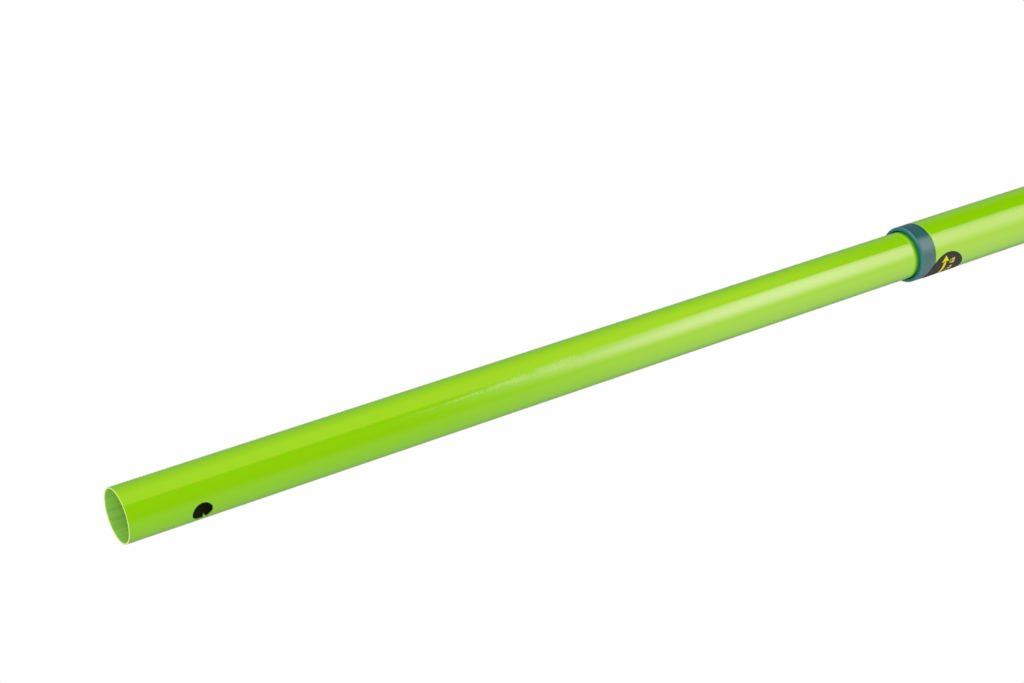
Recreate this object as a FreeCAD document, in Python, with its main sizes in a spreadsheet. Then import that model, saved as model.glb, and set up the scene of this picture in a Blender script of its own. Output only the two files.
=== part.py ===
import FreeCAD, Part
import math
import os
import Sketcher

# A telescopic pole for a hand-held traffic sign, in millimetres.
# It stands on +Z with its closed end down, and the open mouth that takes the sign's stem is on top.
# The origin is at the bottom centre of the end cap.

SIZES = [
    ("outer_dia", 25.0, "thick tube, outside diameter"),
    ("outer_wall", 0.5, "thick tube, wall"),
    ("outer_len", 700.0, "thick tube, length"),
    ("inner_dia", 21.0, "thin tube, outside diameter"),
    ("inner_wall", 0.5, "thin tube, wall"),
    ("inner_len", 700.0, "thin tube, length"),
    ("drawn_len", 383.0, "thin tube out of the thick tube at rest"),
    ("button_dia", 8.0, "cross hole for the sign's snap button"),
    ("button_depth", 28.0, "cross hole centre below the mouth"),
    ("button_turn", 218.7, "cross hole direction about +Z, degrees"),
    ("press_gap", 0.05, "radial gap of a pressed plug"),
    ("swell", 0.6, "thin tube, extra radius of its swelled lower end"),
    ("swell_len", 36.0, "thin tube, length of the swelled end"),
    ("swell_cone", 2.0, "thin tube, cone above the swelled end"),
    ("slide_gap", 0.3, "radial gap of a part that slides or turns"),
    ("journal_gap", 0.06, "radial gap of the cam on its journal"),
    ("collar_head", 8.6, "collar, length outside the tube"),
    ("collar_round", 1.0, "collar, rounding of its front edge"),
    ("collar_stem", 30.0, "collar, length inside the tube"),
    ("collar_gap", 0.45, "collar, radial gap seen around the thin tube"),
    ("collar_mouth", 14.0, "collar, depth of the wider part of its bore"),
    ("rib_wide", 1.4, "crush rib, width"),
    ("rib_count", 6.0, "crush ribs on a pressed plug"),
    ("label_dia", 20.5, "label, diameter"),
    ("label_thick", 0.15, "label, thickness"),
    ("label_drop", 7.8, "label centre below the joint of collar and tube"),
    ("label_turn", 199.0, "label centre direction about +Z, degrees"),
    ("plug_spigot", 35.0, "lock plug, length inside the thin tube"),
    ("plug_wall", 2.4, "lock plug, wall around the cup in its spigot"),
    ("plug_floor", 4.0, "lock plug, solid left under the cup above the tube's end"),
    ("seat_step", 0.75, "lock plug, seat of the guide ring below the spigot's face"),
    ("ring_tall", 6.4, "guide ring, height"),
    ("ring_wall_gap", 0.4, "guide ring, radial gap to the thick tube"),
    ("flange_step", 0.8, "lock plug, flange beyond the thin tube's face"),
    ("flange_thick", 3.0, "lock plug, flange"),
    ("journal_dia", 13.0, "lock plug, journal of the cam"),
    ("cam_offset", 0.5, "journal and cam, eccentricity"),
    ("cam_wall_gap", 0.72, "cam, radial gap to the thick tube when free"),
    ("cam_tall", 14.4, "cam ring, height"),
    ("slot_wide", 2.2, "slot that splits the cam and the guide ring"),
    ("flute_dia", 1.6, "flutes on the cam, diameter"),
    ("flute_count", 20.0, "flutes on the cam"),
    ("axial_gap", 0.3, "end float of the cam and the guide ring"),
    ("washer_dia", 18.0, "lock washer, outside"),
    ("washer_thick", 1.2, "lock washer"),
    ("screw_dia", 3.5, "screws, shank"),
    ("screw_len", 16.0, "lock screw, length under the head"),
    ("screw_head_dia", 7.0, "screws, head"),
    ("screw_head_tall", 2.6, "screws, head"),
    ("recess_dia", 3.2, "screws, drive recess"),
    ("recess_deep", 1.5, "screws, drive recess"),
    ("screw_gap", 0.08, "radial gap of a screw or pin in its hole"),
    ("pin_dia", 3.0, "plug pins"),
    ("pin_up", 14.0, "plug pins above the end of the thin tube"),
    ("pin_sunk", 0.1, "plug pins, end below the tube's face"),
    ("cap_tall", 38.0, "end cap, height below the tube"),
    ("cap_collar", 9.0, "end cap, round part under the tube"),
    ("cap_slope", 9.0, "end cap, height of the slope to the tab"),
    ("cap_spigot", 30.0, "end cap, length inside the tube"),
    ("cap_cup_dia", 19.0, "end cap, cup inside its spigot"),
    ("cap_floor", 4.0, "end cap, solid left under the cup above the tube's end"),
    ("tab_thick", 8.0, "end cap, tab with the hanging hole"),
    ("hang_dia", 10.0, "end cap, hanging hole"),
    ("hang_up", 12.5, "end cap, height of the hanging hole"),
    ("cap_screw_up", 12.0, "cap screw above the end of the thick tube"),
    ("cap_screw_len", 8.0, "cap screw, length under the head"),
    ("cap_screw_head", 2.0, "cap screw, head height"),
    ("grip_up", 62.0, "hand grip, height of its lower end"),
    ("grip_len", 132.0, "hand grip, length"),
    ("grip_thick", 2.8, "hand grip, wall"),
    ("grip_bead", 0.9, "hand grip, bead at each end beyond the wall"),
    ("grip_bead_len", 7.0, "hand grip, length of a bead"),
    ("grip_groove", 0.8, "hand grip, depth of its rings"),
    ("grip_ring_count", 13.0, "hand grip, rings"),
]


class Dim:
    """A size: its value and the sheet expression that drives it."""

    def __init__(self, value, text):
        self.value = float(value)
        self.text = text

    def __add__(self, other):
        other = as_dim(other)
        return Dim(self.value + other.value, f"({self.text} + {other.text})")

    def __sub__(self, other):
        other = as_dim(other)
        return Dim(self.value - other.value, f"({self.text} - {other.text})")

    def __rsub__(self, other):
        return as_dim(other) - self

    def __mul__(self, other):
        other = as_dim(other)
        return Dim(self.value * other.value, f"({self.text} * {other.text})")

    def __truediv__(self, other):
        other = as_dim(other)
        return Dim(self.value / other.value, f"({self.text} / {other.text})")

    def __neg__(self):
        return Dim(0, "0") - self


def as_dim(value):
    """A plain number as a size, and a size as itself."""
    if isinstance(value, Dim):
        return value
    return Dim(value, repr(float(value)))


doc = FreeCAD.newDocument("telescopic_pole")
sheet = doc.addObject("Spreadsheet::Sheet", "Sizes")
size = {}
for row, (alias, value, note) in enumerate(SIZES, start=1):
    sheet.set(f"A{row}", note)
    sheet.set(f"B{row}", str(value))
    sheet.setAlias(f"B{row}", alias)
    size[alias] = Dim(value, f"Sizes.{alias}")
doc.recompute()

nodes = {}


def keep(label, thing):
    """Names a finished piece; its label becomes its file name."""
    thing.Label = label
    nodes[label] = thing
    return thing


def lift(thing, height):
    """Binds an object's height in the frame."""
    thing.setExpression(".Placement.Base.z", as_dim(height).text)
    return thing


def origin_of(body, role):
    """One of a body's own origin planes or axes."""
    return [item for item in body.Origin.OriginFeatures if item.Role == role][0]


def outline(body, name, plane, points):
    """Draws a closed outline of straight lines whose corners are all driven by the sheet."""
    sketch = body.newObject("Sketcher::SketchObject", name)
    sketch.AttachmentSupport = [(origin_of(body, plane), "")]
    sketch.MapMode = "FlatFace"
    corners = [(as_dim(across), as_dim(up)) for across, up in points]
    places = [FreeCAD.Vector(across.value, up.value, 0) for across, up in corners]
    count = len(places)
    for number in range(count):
        sketch.addGeometry(Part.LineSegment(places[number], places[(number + 1) % count]))
    for number in range(count):
        following = (number + 1) % count
        sketch.addConstraint(Sketcher.Constraint("Coincident", number, 2, following, 1))
    for number, corner in enumerate(corners):
        for direction, axis, part in (("DistanceX", -2, corner[0]), ("DistanceY", -1, corner[1])):
            if part.value == 0:
                sketch.addConstraint(Sketcher.Constraint("PointOnObject", number, 1, axis))
                continue
            index = sketch.addConstraint(Sketcher.Constraint(direction, number, 1, part.value))
            sketch.setExpression(f"Constraints[{index}]", part.text)
    return sketch


def ring(body, name, centre, radius):
    """Draws a circle in the XY plane, its centre off the axis along X."""
    sketch = body.newObject("Sketcher::SketchObject", name)
    sketch.AttachmentSupport = [(origin_of(body, "XY_Plane"), "")]
    sketch.MapMode = "FlatFace"
    centre = as_dim(centre)
    radius = as_dim(radius)
    middle = FreeCAD.Vector(centre.value, 0, 0)
    sketch.addGeometry(Part.Circle(middle, FreeCAD.Vector(0, 0, 1), radius.value))
    sketch.addConstraint(Sketcher.Constraint("PointOnObject", 0, 3, -1))
    if centre.value == 0:
        sketch.addConstraint(Sketcher.Constraint("PointOnObject", 0, 3, -2))
    else:
        across = sketch.addConstraint(Sketcher.Constraint("DistanceX", 0, 3, centre.value))
        sketch.setExpression(f"Constraints[{across}]", centre.text)
    wide = sketch.addConstraint(Sketcher.Constraint("Radius", 0, radius.value))
    sketch.setExpression(f"Constraints[{wide}]", radius.text)
    return sketch


def turned(name, points):
    """A body turned about Z from an outline of radius and height."""
    body = doc.addObject("PartDesign::Body", name)
    sketch = outline(body, f"{name}_outline", "XZ_Plane", points)
    turn = body.newObject("PartDesign::Revolution", f"{name}_turn")
    turn.Profile = sketch
    turn.ReferenceAxis = (sketch, ["V_Axis"])
    turn.Angle = 360
    body.Tip = turn
    doc.recompute()
    return body


def rounded(body, name, radius, rims):
    """Rounds the circular edges of a turned body that lie at the given radii and heights."""
    base = body.Tip
    chosen = []
    for number, edge in enumerate(base.Shape.Edges, start=1):
        box = edge.BoundBox
        for rim_radius, rim_height in rims:
            level = as_dim(rim_height).value
            flat = abs(box.ZMax - level) < 1e-4 and abs(box.ZMin - level) < 1e-4
            if flat and abs(box.XMax - as_dim(rim_radius).value) < 1e-4:
                chosen.append(f"Edge{number}")
    fillet = body.newObject("PartDesign::Fillet", name)
    fillet.Base = (base, chosen)
    fillet.setExpression("Radius", as_dim(radius).text)
    body.Tip = fillet
    doc.recompute()
    return body


def add_ribs(body, name, reach, low, high):
    """Adds the crush ribs of a pressed plug, which stand out to the given reach."""
    half = size["rib_wide"] / 2
    inside = reach - 0.6
    sketch = outline(body, f"{name}_outline", "YZ_Plane", [
        (-half, low), (half, low), (half, high), (-half, high)])
    sketch.AttachmentOffset.Base = FreeCAD.Vector(0, 0, inside.value)
    sketch.setExpression(".AttachmentOffset.Base.z", inside.text)
    pad = body.newObject("PartDesign::Pad", f"{name}_pad")
    pad.Profile = sketch
    pad.setExpression("Length", (reach - inside).text)
    pattern = body.newObject("PartDesign::PolarPattern", f"{name}_ribs")
    pattern.Originals = [pad]
    pattern.Axis = (origin_of(body, "Z_Axis"), [""])
    pattern.Angle = 360
    pattern.setExpression("Occurrences", size["rib_count"].text)
    body.Tip = pattern
    doc.recompute()
    return body


def rod(name, diameter, length):
    """A round bar on Z that starts at the origin."""
    bar = doc.addObject("Part::Cylinder", name)
    bar.setExpression("Radius", (as_dim(diameter) / 2).text)
    bar.setExpression("Height", as_dim(length).text)
    return bar


def radial_rod(name, diameter, start, end, height, turn):
    """A round bar that runs outward from radius start to radius end, in the direction turn."""
    start = as_dim(start)
    end = as_dim(end)
    turn = as_dim(turn)
    bar = rod(name, diameter, end - start)
    angle = math.radians(turn.value)
    outward = FreeCAD.Vector(math.cos(angle), math.sin(angle), 0)
    turned_to = FreeCAD.Rotation(FreeCAD.Vector(0, 0, 1), outward)
    bar.Placement = FreeCAD.Placement(FreeCAD.Vector(0, 0, 0), turned_to)
    bar.setExpression(".Placement.Base.x", f"{start.text} * cos({turn.text} * 1deg)")
    bar.setExpression(".Placement.Base.y", f"{start.text} * sin({turn.text} * 1deg)")
    return lift(bar, height)


def cut(name, base, *tools):
    """One solid less one or more others."""
    tool = tools[0]
    if len(tools) > 1:
        tool = doc.addObject("Part::MultiFuse", f"{name}_tools")
        tool.Shapes = list(tools)
    result = doc.addObject("Part::Cut", name)
    result.Base = base
    result.Tool = tool
    doc.recompute()
    return result


def common(name, first, second):
    """What two solids share."""
    result = doc.addObject("Part::Common", name)
    result.Base = first
    result.Tool = second
    doc.recompute()
    return result


def joined(name, *things):
    """Separate solids of one node."""
    result = doc.addObject("Part::Compound", name)
    result.Links = list(things)
    doc.recompute()
    return result


outer_r = size["outer_dia"] / 2
bore_r = outer_r - size["outer_wall"]
inner_r = size["inner_dia"] / 2
socket_r = inner_r - size["inner_wall"]

outer_low = size["cap_tall"]
outer_high = outer_low + size["outer_len"]
mouth = outer_high + size["drawn_len"]
inner_low = mouth - size["inner_len"]

# Thick tube, with the hole of the cap screw near its lower end.
cap_screw_height = outer_low + size["cap_screw_up"]
outer_skin = lift(rod("outer_skin", size["outer_dia"], size["outer_len"]), outer_low)
outer_hollow = lift(rod("outer_hollow", bore_r * 2, size["outer_len"]), outer_low)
cap_screw_hole = radial_rod(
    "cap_screw_hole", size["screw_dia"] + size["screw_gap"] * 2, bore_r - 2, outer_r + 2,
    cap_screw_height, 0)
keep("outer_tube", cut("outer_tube", outer_skin, outer_hollow, cap_screw_hole))

# Thin tube, with the cross hole near its mouth. Its lower end is swelled over the lock plug, which
# stops it at the collar, and has the two holes of the plug pins.
pin_height = inner_low + size["pin_up"]
pin_hole_dia = size["pin_dia"] + size["screw_gap"] * 2
swell_r = inner_r + size["swell"]
seat_bore_r = socket_r + size["swell"]
cone_top = size["swell_len"] + size["swell_cone"]
inner_body = turned("inner_body", [
    (seat_bore_r, 0),
    (swell_r, 0),
    (swell_r, size["swell_len"]),
    (inner_r, cone_top),
    (inner_r, size["inner_len"]),
    (socket_r, size["inner_len"]),
    (socket_r, cone_top),
    (seat_bore_r, size["swell_len"]),
])
lift(inner_body, inner_low)
button_hole = radial_rod(
    "button_hole", size["button_dia"], socket_r - 4, inner_r + 2, mouth - size["button_depth"],
    size["button_turn"])
tube_pin_holes = [
    radial_rod(f"tube_pin_hole_{turn}", pin_hole_dia, socket_r - 2, swell_r + 2, pin_height, turn)
    for turn in (90, 270)
]
keep("inner_tube", cut("inner_tube", inner_body, button_hole, *tube_pin_holes))

# Guide collar: a head flush with the thick tube, and a ribbed stem pressed into it.
stem_r = bore_r - size["press_gap"]
collar_bore = inner_r + size["collar_gap"]
collar_land = inner_r + size["slide_gap"]
collar = turned("collar_body", [
    (collar_land, -size["collar_stem"]),
    (stem_r - 0.5, -size["collar_stem"]),
    (stem_r - 0.15, 1.5 - size["collar_stem"]),
    (stem_r - 0.15, 0),
    (outer_r, 0),
    (outer_r, size["collar_head"]),
    (collar_bore + 0.4, size["collar_head"]),
    (collar_bore, size["collar_head"] - 0.4),
    (collar_bore, size["collar_head"] - size["collar_mouth"]),
    (collar_land, size["collar_head"] - size["collar_mouth"] - 1),
])
add_ribs(collar, "collar", stem_r, 2 - size["collar_stem"], 0)
rounded(collar, "collar_front", size["collar_round"], [(outer_r, size["collar_head"])])
keep("guide_collar", lift(collar, outer_high))

# Label: a round film wrapped over the joint of the collar and the tube.
label_height = outer_high - size["label_drop"]
label_skin = rod("label_skin", size["outer_dia"] + size["label_thick"] * 2, size["label_dia"] * 2)
label_inside = rod("label_inside", size["outer_dia"], size["label_dia"] * 2)
for part in (label_skin, label_inside):
    lift(part, label_height - size["label_dia"])
label_sleeve = cut("label_sleeve", label_skin, label_inside)
label_punch = radial_rod(
    "label_punch", size["label_dia"], 1, outer_r + 5, label_height, size["label_turn"])
keep("lock_label", common("lock_label", label_sleeve, label_punch))

# Lock plug: a cupped spigot pinned in the thin tube, the guide ring's seat, a flange and the
# eccentric journal that carries the cam.
seat_tall = size["ring_tall"] + size["axial_gap"] * 2
flange_low = -(seat_tall + size["flange_thick"])
journal_tall = size["cam_tall"] + size["axial_gap"] * 2
journal_low = flange_low - journal_tall
plug_r = seat_bore_r - size["press_gap"]
cup_r = plug_r - size["plug_wall"]
seat_r = plug_r - size["seat_step"]
flange_r = inner_r + size["flange_step"]
plug = turned("plug_body", [
    (0, flange_low),
    (flange_r, flange_low),
    (flange_r, -seat_tall),
    (seat_r, -seat_tall),
    (seat_r, 0),
    (plug_r, 0),
    (plug_r, size["plug_spigot"] - 1.5),
    (plug_r - 0.8, size["plug_spigot"]),
    (cup_r, size["plug_spigot"]),
    (cup_r, size["plug_floor"]),
    (0, size["plug_floor"]),
])
journal_sketch = ring(plug, "journal_outline", size["cam_offset"], size["journal_dia"] / 2)
journal_sketch.setExpression(".AttachmentOffset.Base.z", journal_low.text)
journal = plug.newObject("PartDesign::Pad", "journal_pad")
journal.Profile = journal_sketch
journal.setExpression("Length", (journal_tall + 0.5).text)
pilot_sketch = ring(plug, "pilot_outline", size["cam_offset"], size["screw_dia"] / 2 + size["screw_gap"])
pilot_sketch.setExpression(".AttachmentOffset.Base.z", journal_low.text)
pilot = plug.newObject("PartDesign::Pocket", "pilot_pocket")
pilot.Profile = pilot_sketch
pilot.Reversed = True
pilot.setExpression("Length", (size["screw_len"] + 2).text)
plug.Tip = pilot
lift(plug, inner_low)
plug_pin_holes = [
    radial_rod(f"plug_pin_hole_{turn}", pin_hole_dia, cup_r - 1, swell_r + 2, pin_height, turn)
    for turn in (90, 270)
]
keep("lock_plug", cut("lock_plug", plug, *plug_pin_holes))

pins = [
    radial_rod(
        f"plug_pin_{turn}", size["pin_dia"], cup_r + 0.2,
        swell_r - size["pin_sunk"], pin_height, turn)
    for turn in (90, 270)
]
keep("plug_pins", joined("plug_pins", *pins))

# Guide ring: a split ring that rides the seat, centres the thin tube and stops it at the collar.
ring_r = bore_r - size["ring_wall_gap"]
ring_bore = seat_r + size["slide_gap"]
guide = turned("guide_body", [
    (ring_bore, 0),
    (ring_r - 0.5, 0),
    (ring_r, 0.5),
    (ring_r, size["ring_tall"] - 0.5),
    (ring_r - 0.5, size["ring_tall"]),
    (ring_bore, size["ring_tall"]),
])
lift(guide, inner_low - seat_tall + size["axial_gap"])


def slot_box(name, length, height, tall):
    """A slot along +X that splits a ring."""
    box = doc.addObject("Part::Box", name)
    box.setExpression("Length", as_dim(length).text)
    box.setExpression("Width", size["slot_wide"].text)
    box.setExpression("Height", as_dim(tall).text)
    box.setExpression(".Placement.Base.y", (-(size["slot_wide"] / 2)).text)
    return lift(box, height)


guide_slot = slot_box("guide_slot", outer_r, inner_low - seat_tall - 1, size["ring_tall"] + 3)
keep("guide_ring", cut("guide_ring", guide, guide_slot))

# Cam ring: its bore rides the journal, its fluted rim is round about the pole's axis when free.
cam_low = inner_low + journal_low + size["axial_gap"]
cam_r = bore_r - size["cam_wall_gap"]
cam_body = turned("cam_body", [
    (0, 0),
    (cam_r - 0.7, 0),
    (cam_r, 0.7),
    (cam_r, size["cam_tall"] - 0.7),
    (cam_r - 0.7, size["cam_tall"]),
    (0, size["cam_tall"]),
])
cam_bore = ring(
    cam_body, "cam_bore_outline", size["cam_offset"], size["journal_dia"] / 2 + size["journal_gap"])
cam_pocket = cam_body.newObject("PartDesign::Pocket", "cam_bore")
cam_pocket.Profile = cam_bore
cam_pocket.Reversed = True
cam_pocket.setExpression("Length", size["cam_tall"].text)
flute_sketch = ring(cam_body, "flute_outline", cam_r + size["flute_dia"] / 4, size["flute_dia"] / 2)
flute = cam_body.newObject("PartDesign::Pocket", "flute_pocket")
flute.Profile = flute_sketch
flute.Reversed = True
flute.setExpression("Length", size["cam_tall"].text)
flutes = cam_body.newObject("PartDesign::PolarPattern", "flutes")
flutes.Originals = [flute]
flutes.Axis = (origin_of(cam_body, "Z_Axis"), [""])
flutes.Angle = 360
flutes.setExpression("Occurrences", size["flute_count"].text)
cam_body.Tip = flutes
lift(cam_body, cam_low)
cam_slot = slot_box("cam_slot", outer_r, cam_low - 1, size["cam_tall"] + 2)
keep("cam_ring", cut("cam_ring", cam_body, cam_slot))

# Lock washer and screw, both on the journal's axis.
washer_low = inner_low + journal_low - size["washer_thick"]
washer_body = turned("washer_body", [
    (size["screw_dia"] / 2 + size["screw_gap"] * 2, 0),
    (size["washer_dia"] / 2, 0),
    (size["washer_dia"] / 2, size["washer_thick"]),
    (size["screw_dia"] / 2 + size["screw_gap"] * 2, size["washer_thick"]),
])
washer_body.setExpression(".Placement.Base.x", size["cam_offset"].text)
keep("lock_washer", lift(washer_body, washer_low))


def screw(name, length, head_tall):
    """A pan-head screw, its head below the origin and its shank above, with a drive recess."""
    body = turned(name, [
        (0, -head_tall),
        (size["screw_head_dia"] / 2 - 1.2, -head_tall),
        (size["screw_head_dia"] / 2 - 0.3, 0.7 - head_tall),
        (size["screw_head_dia"] / 2, 0),
        (size["screw_dia"] / 2, 0),
        (size["screw_dia"] / 2, length - 1.5),
        (size["screw_dia"] / 2 - 1.2, length),
        (0, length),
    ])
    recess = ring(body, f"{name}_recess_outline", 0, size["recess_dia"] / 2)
    recess.setExpression(".AttachmentOffset.Base.z", (-head_tall).text)
    pocket = body.newObject("PartDesign::Pocket", f"{name}_recess")
    pocket.Profile = recess
    pocket.Reversed = True
    pocket.setExpression("Length", (size["recess_deep"] * head_tall / size["screw_head_tall"]).text)
    body.Tip = pocket
    doc.recompute()
    return body


lock_screw = screw("lock_screw_body", size["screw_len"] + size["washer_thick"], size["screw_head_tall"])
lock_screw.setExpression(".Placement.Base.x", size["cam_offset"].text)
keep("lock_screw", lift(lock_screw, washer_low))

# End cap: a cupped, ribbed spigot in the thick tube, a round part flush with it, and a flat tab
# with the hanging hole.
cap_plug_r = bore_r - size["press_gap"]
cap_body = turned("cap_body", [
    (0, 0),
    (outer_r, 0),
    (outer_r, size["cap_tall"]),
    (cap_plug_r - 0.15, size["cap_tall"]),
    (cap_plug_r - 0.15, size["cap_tall"] + size["cap_spigot"] - 1.5),
    (cap_plug_r - 0.8, size["cap_tall"] + size["cap_spigot"]),
    (size["cap_cup_dia"] / 2, size["cap_tall"] + size["cap_spigot"]),
    (size["cap_cup_dia"] / 2, size["cap_tall"] + size["cap_floor"]),
    (0, size["cap_tall"] + size["cap_floor"]),
])
add_ribs(
    cap_body, "cap", cap_plug_r, size["cap_tall"], size["cap_tall"] + size["cap_spigot"] - 2)
slope_high = size["cap_tall"] - size["cap_collar"]
slope_low = slope_high - size["cap_slope"]
for side in (1, -1):
    trim = outline(cap_body, f"cap_trim_{'front' if side > 0 else 'back'}", "YZ_Plane", [
        (size["tab_thick"] * 0.5 * side, -1),
        (size["tab_thick"] * 0.5 * side, slope_low),
        ((outer_r + 0.5) * side, slope_high),
        ((outer_r + 0.5) * side, -1),
    ])
    away = cap_body.newObject("PartDesign::Pocket", f"{trim.Name}_pocket")
    away.Profile = trim
    away.Type = "ThroughAll"
    away.SideType = "Symmetric"
cap_body.Tip = away
doc.recompute()
tab_slab = doc.addObject("Part::Box", "tab_slab")
tab_slab.setExpression("Length", (outer_r * 2 + 2).text)
tab_slab.setExpression("Width", (outer_r * 2 + 2).text)
tab_slab.setExpression("Height", (size["cap_tall"] + size["cap_spigot"]).text)
tab_slab.setExpression(".Placement.Base.x", (-(outer_r + 1)).text)
tab_slab.setExpression(".Placement.Base.y", (-(outer_r + 1)).text)
lift(tab_slab, outer_r)


def cross_bar(name, diameter):
    """A bar along Y through the middle of the hanging hole."""
    bar = rod(name, diameter, outer_r * 2 + 2)
    along = FreeCAD.Rotation(FreeCAD.Vector(1, 0, 0), -90)
    bar.Placement = FreeCAD.Placement(FreeCAD.Vector(0, 0, 0), along)
    bar.setExpression(".Placement.Base.y", (-(outer_r + 1)).text)
    return lift(bar, size["hang_up"])


tab_round = cross_bar("tab_round", outer_r * 2)
cap_envelope = doc.addObject("Part::MultiFuse", "cap_envelope")
cap_envelope.Shapes = [tab_slab, tab_round]
cap_shaped = common("cap_shaped", cap_body, cap_envelope)
cap_hang = cross_bar("cap_hang", size["hang_dia"])
cap_pilot = radial_rod(
    "cap_pilot", size["screw_dia"] + size["screw_gap"] * 2, size["cap_cup_dia"] / 2 - 1, outer_r,
    cap_screw_height, 0)
keep("end_cap", cut("end_cap", cap_shaped, cap_hang, cap_pilot))

# Cap screw: driven through the thick tube's wall into the end cap.
cap_screw = screw("cap_screw_body", size["cap_screw_len"], size["cap_screw_head"])
cap_screw.Placement = FreeCAD.Placement(
    FreeCAD.Vector(0, 0, 0), FreeCAD.Rotation(FreeCAD.Vector(0, 1, 0), -90))
cap_screw.setExpression(".Placement.Base.x", outer_r.text)
keep("cap_screw", lift(cap_screw, cap_screw_height))

# Hand grip: a ringed sleeve on the lower part of the thick tube.
grip_r = outer_r + size["grip_thick"]
bead_r = grip_r + size["grip_bead"]
rings = round(size["grip_ring_count"].value)
pitch = (size["grip_len"] - size["grip_bead_len"] * 2) / size["grip_ring_count"]
grip_points = [
    (outer_r, 0),
    (bead_r, 0),
    (bead_r, size["grip_bead_len"]),
    (grip_r, size["grip_bead_len"]),
]
for number in range(rings):
    low = size["grip_bead_len"] + pitch * number
    grip_points += [
        (grip_r, low + pitch * 0.30),
        (grip_r - size["grip_groove"], low + pitch * 0.42),
        (grip_r - size["grip_groove"], low + pitch * 0.58),
        (grip_r, low + pitch * 0.70),
    ]
grip_points += [
    (grip_r, size["grip_len"] - size["grip_bead_len"]),
    (bead_r, size["grip_len"] - size["grip_bead_len"]),
    (bead_r, size["grip_len"]),
    (outer_r, size["grip_len"]),
]
grip = turned("grip_body", grip_points)
rounded(grip, "grip_ends", size["grip_bead"] * 1.6, [(bead_r, 0), (bead_r, size["grip_len"])])
keep("hand_grip", lift(grip, size["grip_up"]))

doc.recompute()
for item in doc.Objects:
    for bad in ("Invalid", "Error"):
        if bad in item.State:
            raise RuntimeError(f"{item.Name} is {item.State}")
os.makedirs("parts", exist_ok=True)
for label, thing in nodes.items():
    shape = thing.Shape
    if shape.isNull() or not shape.isValid() or not shape.Solids:
        raise RuntimeError(f"{label} has no valid solid")
    shape.exportStep(f"parts/{label}.step")
    box = shape.BoundBox
    print(f"{label}: {len(shape.Solids)} solid(s), {shape.Volume:.0f} mm3, "
          f"z {box.ZMin:.1f} to {box.ZMax:.1f}, width {box.XLength:.2f} x {box.YLength:.2f}")
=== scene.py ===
import logging
import math
from dataclasses import dataclass
from enum import Enum
from typing import Callable, Sequence, Union

import bmesh
import bpy
from mathutils import Matrix, Vector


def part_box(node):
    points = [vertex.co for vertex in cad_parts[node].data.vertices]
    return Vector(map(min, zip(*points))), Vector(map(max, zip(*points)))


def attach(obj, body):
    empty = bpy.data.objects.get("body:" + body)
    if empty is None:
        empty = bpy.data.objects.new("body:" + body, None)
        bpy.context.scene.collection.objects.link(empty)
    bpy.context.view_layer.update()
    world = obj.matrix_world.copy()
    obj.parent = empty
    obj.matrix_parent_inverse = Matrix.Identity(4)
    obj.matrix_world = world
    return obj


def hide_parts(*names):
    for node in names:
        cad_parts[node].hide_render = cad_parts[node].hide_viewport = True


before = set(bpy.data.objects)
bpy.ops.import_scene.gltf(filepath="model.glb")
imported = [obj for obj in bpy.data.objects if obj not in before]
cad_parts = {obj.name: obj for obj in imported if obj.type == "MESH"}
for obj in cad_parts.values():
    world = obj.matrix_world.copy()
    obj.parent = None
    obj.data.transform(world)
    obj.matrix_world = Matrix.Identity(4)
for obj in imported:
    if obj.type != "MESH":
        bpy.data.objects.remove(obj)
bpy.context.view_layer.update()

LOG = logging.getLogger("pole")

# One millimetre in the frame's metres.
MM = 0.001
# Points closer than this are the same point.
NEAR = 1e-6
# A depth in millimetres, and a height in metres, that are past every piece, for marks that a piece has not got.
NOWHERE_MM = 9000.0
NOWHERE = 10.0
# Half the soft edge of the label's print, in millimetres.
PRINT_SOFT_MM = 0.09
# An edge turned by more than this many degrees stays sharp.
SHARP = 35.0

Point = tuple[float, float]
Span = tuple[float, float]
Colour = tuple[float, float, float, float]


class Body(Enum):
    """The rigid bodies that the remade pieces ride on."""

    HANDLE = "handle"
    DRAW_TUBE = "draw_tube"


class Ray(Enum):
    """What a ray of the studio's surround is used for."""

    CAMERA = "Is Camera Ray"
    DIFFUSE = "Is Diffuse Ray"


class Join(Enum):
    """How two solids are put together."""

    CUT = "DIFFERENCE"
    COMMON = "INTERSECT"
    FUSE = "UNION"


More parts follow.
